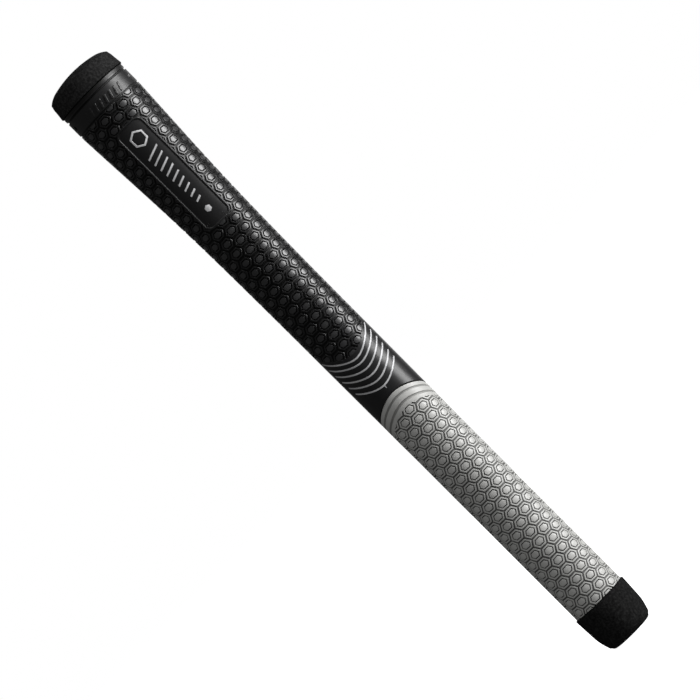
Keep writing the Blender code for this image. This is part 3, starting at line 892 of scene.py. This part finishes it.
def rib_distance(place):
    """Distance outside the nearest slanted rib on the neck, negative inside it."""
    up = place.z - RIB_MIDDLE
    around = place.x / STRIP_RADIUS * skin_radius(RIB_MIDDLE) - RIB_LEAN * up - RIB_SHIFT
    middle = (RIB_COUNT - 1) / 2.0
    index = min(max(round(around / RIB_STEP + middle), 0), RIB_COUNT - 1)
    sides = abs(around - (index - middle) * RIB_STEP) - RIB_CORE_HALF_WIDTH
    return rounded_distance(sides, abs(up) - RIB_CORE_HALF_LENGTH, RIB_CORNER)


def dimple_distance(place):
    """Distance outside the nearer of the two round dimples."""
    turn = min(abs(place.x / STRIP_RADIUS - angle) for angle in DIMPLE_ANGLES)
    return math.hypot(turn * skin_radius(RIB_MIDDLE), place.z - DIMPLE_MIDDLE) - DIMPLE_RADIUS


def band_edges(shape):
    """Edges of the plain band between the two pressed grooves."""
    low, high = BAND[0] - 0.3 * MM, BAND[-1] + 0.3 * MM
    return [edge for edge in shape.edges if all(low < point.co.z < high for point in edge.verts)]


for offset in (0.0, FLANK):
    cut_line(black, lambda place: rib_distance(place) + offset, band_edges(black))
    cut_line(black, lambda place: dimple_distance(place) + offset, band_edges(black))
relief_layer = black.verts.layers.float["relief"]
# the dimple's relief makes the skin's colour darkest inside it, as painted shade
for point in {point for edge in band_edges(black) for point in edge.verts}:
    dimple = ease(-dimple_distance(point.co) / FLANK)
    point.co.y = dimple * DIMPLE_DEPTH - RIB_HEIGHT * ease(-rib_distance(point.co) / FLANK)
    point[relief_layer] = PLAIN + (1.0 - PLAIN) * dimple
print(RIB_COUNT, "ribs and", len(DIMPLE_ANGLES), "dimples")

# %% Sink the panel
# (distance inside the outline, depth) in millimetres
PANEL_ROWS = (
    (-0.48, 0.0), (-0.25, 0.0), (-0.12, 0.0), (0.0, 0.03), (0.07, 0.12), (0.2, 0.4), (0.28, 0.45),
    (0.42, 0.45), (1.3, 0.45), (2.2, 0.45), (3.1, 0.45), (4.0, 0.45), (4.8, 0.45),
)
SPINE_HALF_WIDTH = 0.6 * MM
SPINE_INSET = 4.0 * MM
SPINE_STEP = 1.55 * MM
SPINE_CUTS = 11


def near_panel(place):
    """True within reach of the panel's opening."""
    return abs(place.x) < 9.0 * MM and abs(place.z - PANEL_MIDDLE) < 24.0 * MM


def on_spine(place):
    """True along the middle of the panel, inside its last row."""
    return abs(place.x) < SPINE_HALF_WIDTH and panel_distance(0.0, place.z) < -SPINE_INSET


def spine_edges(shape):
    """Edges round the faces along the middle of the panel."""
    return [edge for edge in shape.edges if all(on_spine(point.co) for point in edge.verts)]


panel_edges = split_long(black, border(black, near_panel))
for inset, depth in PANEL_ROWS:
    panel_edges = grow(black, panel_edges, panel_row(inset * MM, depth * MM))
bmesh.ops.contextual_create(black, geom=panel_edges)
# the face that closes the floor is long, so it is cut across to follow the swell
for index in range(-SPINE_CUTS, SPINE_CUTS + 1):
    cut_line(black, lambda place: place.z - PANEL_MIDDLE - index * SPINE_STEP, spine_edges(black))
print("panel sunk from", len(panel_edges), "edges, with", 2 * SPINE_CUTS + 1, "cuts across its middle")

# %% Grow the land with the arcs
JOINT_HALF_GAP = 0.17 * MM
RIM_OFFSET = 0.55
# (offset from the arc, depth) in millimetres
CHANNEL = (
    (RIM_OFFSET, 0.0), (0.42, 0.0), (0.31, 0.16), (-0.31, 0.16), (-0.42, 0.0), (-RIM_OFFSET, 0.0),
)


def channel(index):
    """Rows that dip into the channel of one arc, from its upper rim to its lower one."""
    return [(arc_row(index, offset * MM), depth * MM, PLAIN) for offset, depth in CHANNEL]


def joint_row(share, gap):
    """Height function between the last arc and the joint, a gap above it."""
    last = arc_row(ARC_COUNT - 1, -RIM_OFFSET * MM)
    return lambda angle: last(angle) + (joint_height(angle) + gap - last(angle)) * share


def on_field_end(place):
    """True on the lower edge of the stretched honeycomb."""
    across = place.x * skin_radius(place.z) / STRIP_RADIUS
    return abs(field_end(Vector((across, 0.0, place.z)))) < 0.1 * MM


seam_x = max(point.co.x for point in black.verts)
land_edges = [
    edge for edge in border(black, on_field_end)
    if any(abs(point.co.x) < seam_x - 0.05 * MM for point in edge.verts)
]
land_edges = split_long(black, land_edges)
land_rows = plain_rows(arc_row(0, 1.8 * MM), arc_row(0, 1.2 * MM))
for index in range(ARC_COUNT):
    land_rows += channel(index)
    if index < ARC_COUNT - 1:
        middle = 0.5 * (arc_apex(index + 1) - arc_apex(index))
        land_rows += plain_rows(arc_row(index, middle))
for share in (0.25, 0.5, 0.75, 1.0):
    land_rows += plain_rows(joint_row(share, JOINT_HALF_GAP + 0.2 * MM))
land_rows.append((joint_row(1.0, JOINT_HALF_GAP + 0.07 * MM), 0.05 * MM, PLAIN))
land_rows.append((joint_row(1.0, JOINT_HALF_GAP), 0.18 * MM, PLAIN))
grow_rows(black, land_edges, land_rows)
print("land grown from", len(land_edges), "edges")

# %% Level the channels out past the ends of the arcs
FADE = 0.5 * MM
LAND_BOTTOM = NEXT_ARC - 14.0 * MM
LAND_TOP = NEXT_ARC + 12.0 * MM


def nearest_arc(around, height):
    """Index of the arc that lies nearest to a place on the land."""
    index = 1 + round((NEXT_ARC + arc_rise(1, around) - height) / ARC_STEP)
    return min(max(index, 0), ARC_COUNT - 1)


levelled = 0
for point in black.verts:
    in_channel = 0.1 * MM < point.co.y < 0.17 * MM and point[relief_layer] < 0.0
    if in_channel and LAND_BOTTOM < point.co.z < LAND_TOP:
        around = abs(point.co.x / STRIP_RADIUS * skin_radius(point.co.z) - ARC_MIDDLE)
        past_end = around - arc_reach(nearest_arc(around, point.co.z))
        point.co.y *= 1.0 - ease(past_end / FADE)
        levelled += past_end > 0.0
print(levelled, "points levelled past the arcs")

# %% Close and wrap the upper skin
close_back(black)
upper_normals = wrap(black, skin_radius)
add_piece("upper_skin_wrap", black, BLACK_SKIN, ["upper_skin"], upper_normals)

# %% [markdown]
# ## The lower skin
# The grey skin is made the same way. Its collar is smooth, with two pressed grooves that run
# parallel to the swept joint, and its honeycomb runs on under the mouth cap's edge.

# %% Press and trim the grey honeycomb
GREY_RINGS = (
    (0.05, 0.32), (0.17, 0.44),
    (0.09, 0.05), (0.05, 0.00), (0.38, 0.00), (0.06, 0.05),
    (0.08, 0.44), (0.23, 0.44),
    (0.07, 0.05), (0.06, 0.00),
)
GREY_VALLEY = 0.30 * MM
GREY_PITCH = 4.43 * MM
GREY_FIRST = (-8 * ROUND_PITCH, 93.1 * MM - 18 * GREY_PITCH)
GREY_BOTTOM = 16.0 * MM
COLLAR_DROP = 6.8 * MM
grey = hexagon_rows(ROUND_PITCH, GREY_PITCH, GREY_FIRST, columns=18, rows=23)
press_rings(grey, GREY_VALLEY, GREY_RINGS)
skew(grey, height=93.0 * MM, shift=-0.07 * MM, lean=0.0063)
trim(grey, lambda place: GREY_BOTTOM - place.z)
trim(grey, lambda place: place.z - joint_height(place.x / lower_radius(place.z)) + COLLAR_DROP)
trim(grey, seam_side(lower_radius))
stretch_to_strip(grey, lower_radius)
print("grey field:", len(grey.faces), "faces")

# %% Grow the collar, close and wrap
COLLAR_GROOVE = {"depth": 0.28 * MM, "relief_value": 0.5, "floor_share": 0.39}


def on_collar_edge(place):
    """True on the upper edge of the stretched honeycomb."""
    return abs(place.z - joint_height(place.x / STRIP_RADIUS) + COLLAR_DROP) < 0.1 * MM


def collar_row(drop):
    """Height function of a row that keeps a distance below the joint."""
    return lambda angle: joint_height(angle) - drop


collar = split_long(grey, border(grey, on_collar_edge))
collar_rows = plain_rows(collar_row(6.68 * MM), collar_row(6.1 * MM))
collar_rows += groove_rows(collar_row(4.85 * MM), width=1.05 * MM, **COLLAR_GROOVE)
collar_rows += plain_rows(collar_row(3.5 * MM))
collar_rows += groove_rows(collar_row(2.1 * MM), width=0.95 * MM, **COLLAR_GROOVE)
collar_rows += plain_rows(collar_row(1.2 * MM), collar_row(0.45 * MM))
collar_rows.append((collar_row(0.28 * MM), 0.05 * MM, PLAIN))
collar_rows.append((collar_row(JOINT_HALF_GAP), 0.2 * MM, PLAIN))
grow_rows(grey, collar, collar_rows)
close_back(grey)
lower_normals = wrap(grey, lower_radius)
add_piece("lower_skin_wrap", grey, GREY_SKIN, ["lower_skin"], lower_normals)

# %% [markdown]
# ## Silver arcs and marks
# The arcs are paint that fills a pressed channel. Each is a long thin bar with rounded edges that
# is bent along its curve and then wrapped. The marks on the panel are plain shapes: a hexagon, a
# run of slanted bars that get shorter, and a small hexagon.

# %% Thin painted bars
PAINT_ROUNDING = 0.07 * MM
SHARP_TURN = 1.0


def round_off(shape, edges):
    """Round the edges that turn by more than a radian, as thick paint does."""
    sharp = [edge for edge in edges if edge.calc_face_angle(0.0) > SHARP_TURN]
    bmesh.ops.bevel(
        shape, geom=sharp, offset=PAINT_ROUNDING, segments=3, affect="EDGES", profile=0.5, material=-1
    )


def painted_bar(length, width, low, high, pieces):
    """Flat bar along x with rounded long edges; low and high are its depths."""
    shape = bmesh.new()
    bmesh.ops.create_cube(shape, size=1.0)
    along = [edge for edge in shape.edges if abs(edge.verts[0].co.x - edge.verts[1].co.x) > 0.5]
    bmesh.ops.subdivide_edges(shape, edges=along, cuts=pieces - 1)
    middle = (low + high) / 2.0
    size = Matrix.Diagonal((length, low - high, width, 1.0))
    bmesh.ops.transform(shape, matrix=Matrix.Translation((0.0, middle, 0.0)) @ size, verts=shape.verts)
    round_off(shape, [edge for edge in shape.edges if all(point.co.y < middle for point in edge.verts)])
    return shape


def bend_round(shape, radius_at):
    """Bend a bar whose x is a distance round the grip."""
    for point in shape.verts:
        radius = radius_at(point.co.z)
        angle = point.co.x / radius
        reach = radius - point.co.y
        point.co.x = reach * math.sin(angle)
        point.co.y = -reach * math.cos(angle)


def add_paint(name, shape, node, finish):
    """Wrap a painted shape and put it in the scene for its solid."""
    bend_round(shape, skin_radius)
    add_piece(name, shape, finish, [node])


print("painted edges are rounded by", PAINT_ROUNDING / MM, "mm")

# %% The six arcs and the tick
ARC_WIDTH = 0.6 * MM
ARC_PIECES = 64
SLOPE_STEP = 0.1 * MM
for index in range(ARC_COUNT):
    reach = arc_reach(index)
    shape = painted_bar(2.0 * reach, ARC_WIDTH, low=0.15 * MM, high=0.0, pieces=ARC_PIECES)
    for point in shape.verts:
        along, across = point.co.x, point.co.z
        climb = arc_rise(index, along + SLOPE_STEP) - arc_rise(index, along - SLOPE_STEP)
        slope = climb / (2.0 * SLOPE_STEP)
        stretch = math.hypot(1.0, slope)
        point.co.x = ARC_MIDDLE + along - across * slope / stretch
        point.co.z = arc_apex(index) + arc_rise(index, along) + across / stretch
    add_paint(f"arc_paint_{index + 1}", shape, f"silver_arc_{index + 1}", ARC_SILVER)

TICK_LIFT = 0.4 * MM
tick = painted_bar(0.36 * MM, 0.95 * MM, low=0.1 * MM, high=-0.02 * MM, pieces=3)
tick_low, tick_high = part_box("silver_tick")
tick_place = Vector((ARC_MIDDLE, 0.0, (tick_low.z + tick_high.z) / 2.0 + TICK_LIFT))
bmesh.ops.translate(tick, vec=tick_place, verts=tick.verts)
add_paint("tick_paint", tick, "silver_tick", ARC_SILVER)

# %% Marks on the panel
MARK_LOW = 0.5 * MM
MARK_HIGH = 0.34 * MM
FLAT_SHARE = 0.866
BAR_COUNT = 9
BAR_PIECES = 16
BAR_WIDTH = 0.7 * MM
FIRST_BAR_LENGTH = 6.0 * MM
BAR_SHRINK = 0.45 * MM
FIRST_BAR = 228.0 * MM
BAR_STEP = 2.7 * MM
BAR_LEAN = 0.35


def hexagon_mark(radius, rim, height):
    """Hexagon that lies on the panel: an outline of the given rim, or solid when rim is 0."""
    shape = bmesh.new()
    bmesh.ops.create_circle(shape, segments=6, radius=radius, cap_ends=rim == 0.0)
    if rim > 0.0:
        bmesh.ops.subdivide_edges(shape, edges=shape.edges, cuts=3)
        made = bmesh.ops.extrude_edge_only(shape, edges=shape.edges)["geom"]
        inner = [item for item in made if isinstance(item, bmesh.types.BMVert)]
        bmesh.ops.scale(shape, vec=(1.0 - rim / (radius * FLAT_SHARE),) * 3, verts=inner)
    grown = bmesh.ops.extrude_face_region(shape, geom=shape.faces, use_keep_orig=True)["geom"]
    raised = {item for item in grown if isinstance(item, bmesh.types.BMVert)}
    bmesh.ops.translate(shape, vec=(0.0, 0.0, MARK_LOW - MARK_HIGH), verts=list(raised))
    bmesh.ops.recalc_face_normals(shape, faces=shape.faces)
    round_off(shape, [edge for edge in shape.edges if raised.issuperset(edge.verts)])
    upright = Matrix.Translation((0.0, MARK_LOW, height)) @ Matrix.Rotation(math.radians(90.0), 4, "X")
    bmesh.ops.transform(shape, matrix=upright, verts=shape.verts)
    return shape


outline = hexagon_mark(radius=3.3 * MM, rim=0.65 * MM, height=234.6 * MM)
add_paint("hexagon_paint", outline, "panel_hexagon", PANEL_SILVER)
for index in range(BAR_COUNT):
    length = FIRST_BAR_LENGTH - BAR_SHRINK * index
    bar = painted_bar(length, BAR_WIDTH, low=MARK_LOW, high=MARK_HIGH, pieces=BAR_PIECES)
    for point in bar.verts:
        point.co.z += FIRST_BAR - BAR_STEP * index + BAR_LEAN * point.co.x
    add_paint(f"bar_paint_{index + 1}", bar, f"panel_bar_{index + 1}", PANEL_SILVER)
end_mark = hexagon_mark(radius=1.3 * MM, rim=0.0, height=201.8 * MM)
add_paint("end_mark_paint", end_mark, "panel_end_mark", PANEL_SILVER)

# %% [markdown]
# ## The caps
# Both caps are turned shapes, so half of each section is drawn as a chain of points and spun once
# round the axis. The butt cap is a low dome with a vent, and its side flares to a thin lip. The
# mouth cap narrows to a rounded nose round the bore.

# %% Spin a section
SPIN_STEPS = 128
SMOOTH_TURN = math.radians(38.0)


def arc_points(centre_r, centre_z, radius, start_deg, end_deg, count):
    """Points on an arc in the section, with angles from the outward direction."""
    points = []
    for index in range(count + 1):
        angle = math.radians(start_deg + (end_deg - start_deg) * index / count)
        points.append((centre_r + radius * math.cos(angle), centre_z + radius * math.sin(angle)))
    return points


def spun(section):
    """Closed solid from a closed section of (radius, height) points."""
    shape = bmesh.new()
    points = [shape.verts.new((radius, 0.0, height)) for radius, height in section]
    chain = [shape.edges.new(pair) for pair in zip(points, points[1:] + points[:1])]
    bmesh.ops.spin(
        shape, geom=points + chain, cent=(0.0, 0.0, 0.0), axis=(0.0, 0.0, 1.0),
        angle=2.0 * math.pi, steps=SPIN_STEPS, use_merge=True,
    )
    bmesh.ops.remove_doubles(shape, verts=shape.verts, dist=0.001 * MM)
    bmesh.ops.recalc_face_normals(shape, faces=shape.faces)
    for edge in shape.edges:
        edge.smooth = edge.calc_face_angle(0.0) < SMOOTH_TURN
    return shape


print("turned pieces have", SPIN_STEPS, "steps round")

# %% Butt cap
DOME_RADIUS = 38.0 * MM
DOME_TOP = 267.0 * MM
VENT_REACH = 1.9 * MM
DOME_REACH = 9.6 * MM
SHOULDER = 8.5 * MM
SHOULDER_END = 48.5
CORNER = 0.4 * MM
dome_centre = DOME_TOP - DOME_RADIUS
vent_edge = math.degrees(math.acos(VENT_REACH / DOME_RADIUS))
dome_edge = math.degrees(math.acos(DOME_REACH / DOME_RADIUS))
section = [(1.6 * MM, 261.0 * MM), (1.6 * MM, 266.6 * MM), (1.68 * MM, 266.84 * MM)]
section += arc_points(0.0, dome_centre, DOME_RADIUS, vent_edge, dome_edge, 20)
edge_r, edge_z = section.pop()
shoulder_r = edge_r * (1.0 - SHOULDER / DOME_RADIUS)
shoulder_z = edge_z - (edge_z - dome_centre) * SHOULDER / DOME_RADIUS
section += arc_points(shoulder_r, shoulder_z, SHOULDER, dome_edge, SHOULDER_END, 10)
corner_r, corner_z = section.pop()
corner_r -= CORNER * math.cos(math.radians(SHOULDER_END))
corner_z -= CORNER * math.sin(math.radians(SHOULDER_END))
section += arc_points(corner_r, corner_z, CORNER, SHOULDER_END, 4.0, 6)
section += [(13.54 * MM, 262.2 * MM), (13.67 * MM, 260.6 * MM), (13.85 * MM, 259.1 * MM)]
section += arc_points(13.70 * MM, 258.0 * MM, 0.3 * MM, 20.0, -90.0, 7)
section += [(11.55 * MM, 257.7 * MM), (11.55 * MM, 261.0 * MM)]
add_piece("butt_cap_moulded", spun(section), BUTT_RUBBER, ["butt_cap"])

# %% Mouth cap
NOSE_START = 7.2 * MM
NOSE_LENGTH = 5.85 * MM
NOSE_RADIUS = 10.52 * MM
NOSE_FALL = 1.85 * MM
NOSE_STEPS = 12
section = [(8.6 * MM, 15.7 * MM)]
section += arc_points(10.75 * MM, 15.5 * MM, 0.2 * MM, 90.0, 0.0, 5)
section += [(10.83 * MM, 13.0 * MM), (10.70 * MM, 10.5 * MM)]
for step in range(NOSE_STEPS + 1):
    height = NOSE_START - NOSE_LENGTH * step / NOSE_STEPS
    fall = ((NOSE_START - height) / NOSE_START) ** 1.5
    section.append((NOSE_RADIUS - NOSE_FALL * fall, height))
section += arc_points(7.32 * MM, 1.35 * MM, 1.35 * MM, -22.5, -90.0, 8)
section.append((6.75 * MM, 0.0))
section += arc_points(6.55 * MM, 0.3 * MM, 0.3 * MM, -90.0, -180.0, 5)
section += [(6.27 * MM, 4.0 * MM), (8.6 * MM, 4.0 * MM)]
add_piece("mouth_cap_moulded", spun(section), MOUTH_RUBBER, ["mouth_cap"])
